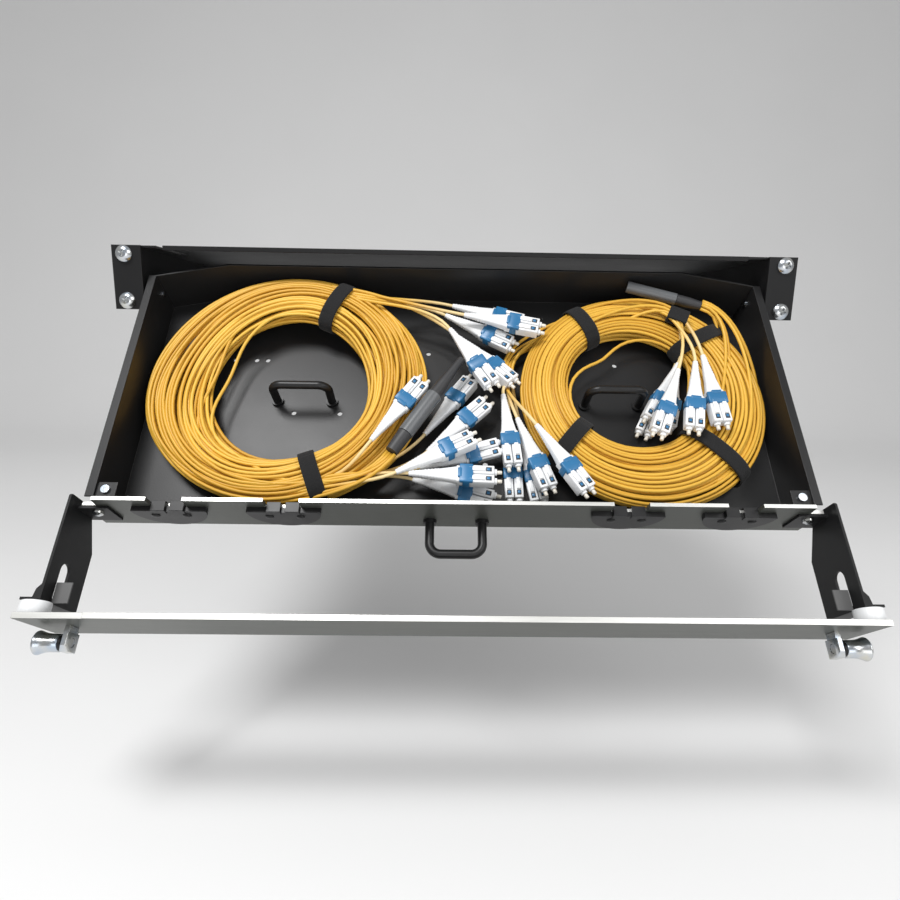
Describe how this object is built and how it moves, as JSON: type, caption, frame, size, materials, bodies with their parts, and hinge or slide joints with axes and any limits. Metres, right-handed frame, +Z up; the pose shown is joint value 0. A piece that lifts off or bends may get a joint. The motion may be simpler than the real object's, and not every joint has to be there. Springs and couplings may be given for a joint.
{
  "type": "fibre termination and slack drawer",
  "caption": "Rack-mount fibre drawer, drawn out and tilted down, with two strapped coils of yellow cable, white connectors, cable entries and a removable front cover.",
  "frame": {"origin": "centre of the four ear screws, on the plane where the ears meet the rack", "axes": "+X to the right seen from the front, +Y into the rack, +Z up"},
  "size_m": [0.4826, 0.3883, 0.2354],
  "materials": {
    "black_powder_coat": "satin",
    "tray_powder_coat": "satin",
    "silver_aluminium": "satin",
    "zinc_plated_steel": "gloss",
    "black_plastic": "satin",
    "white_plastic": "satin",
    "grey_plastic": "satin",
    "yellow_jacket": "satin",
    "hook_and_loop": "matte"
  },
  "bodies": {
    "chassis": {"chassis_top_cover": "black_powder_coat", "chassis_side_left": "black_powder_coat", "chassis_side_right": "black_powder_coat", "chassis_rear_brace": "black_powder_coat", "slide_rail_left": "zinc_plated_steel", "slide_rail_right": "zinc_plated_steel", "rail_rivets": "zinc_plated_steel", "ear_screws": "zinc_plated_steel"},
    "carriage": {"slide_member_left": "zinc_plated_steel", "slide_member_right": "zinc_plated_steel", "carriage_tie": "black_powder_coat", "pivot_pins": "zinc_plated_steel"},
    "tray": {"tray_pan": "tray_powder_coat", "tray_front": "silver_aluminium", "front_handle": "black_plastic", "coil_handle_left": "black_plastic", "coil_handle_right": "black_plastic", "handle_screws": "zinc_plated_steel", "grommet_outer_left": "black_plastic", "grommet_inner_left": "black_plastic", "grommet_inner_right": "black_plastic", "grommet_outer_right": "black_plastic", "grommet_rivets": "black_plastic", "side_arm_left": "black_powder_coat", "side_arm_right": "black_powder_coat", "exit_tab_left": "grey_plastic", "exit_tab_right": "grey_plastic", "arm_screws": "zinc_plated_steel", "corner_screws": "zinc_plated_steel", "spacer_left": "white_plastic", "spacer_right": "white_plastic", "coil_left": "yellow_jacket", "coil_right": "yellow_jacket", "straps_left": "hook_and_loop", "straps_right": "hook_and_loop", "fanout_tie": "hook_and_loop", "furcation_tube_left": "grey_plastic", "furcation_boots_left": "black_plastic", "furcation_tube_right": "grey_plastic", "furcation_boots_right": "black_plastic", "fanout_legs": "yellow_jacket", "connectors_pile": "white_plastic", "connectors_hanging": "white_plastic"},
    "cover": {"cover_panel": "silver_aluminium", "latch_block_left": "zinc_plated_steel", "latch_block_right": "zinc_plated_steel", "latch_collars": "black_plastic"},
    "knob_left": {"latch_knob_left": "zinc_plated_steel"},
    "knob_right": {"latch_knob_right": "zinc_plated_steel"}
  },
  "joints": [
    {"name": "drawer_slide", "type": "slide", "parent": "chassis", "child": "carriage", "axis": [0, 1, 0], "range_m": [0, 0.135]},
    {"name": "tray_tilt", "type": "hinge", "parent": "carriage", "child": "tray", "pos_m": [0, 0.0324, -0.012], "axis": [-1, 0, 0], "range_deg": [0, 52]},
    {"name": "cover_lift_off", "type": "slide", "parent": "tray", "child": "cover", "axis": [0, -0.6157, -0.788], "range_m": [0, 0.06]},
    {"name": "latch_pull_left", "type": "slide", "parent": "cover", "child": "knob_left", "axis": [-1, 0, 0], "range_m": [0, 0.004]},
    {"name": "latch_pull_right", "type": "slide", "parent": "cover", "child": "knob_right", "axis": [1, 0, 0], "range_m": [0, 0.004]}
  ]
}
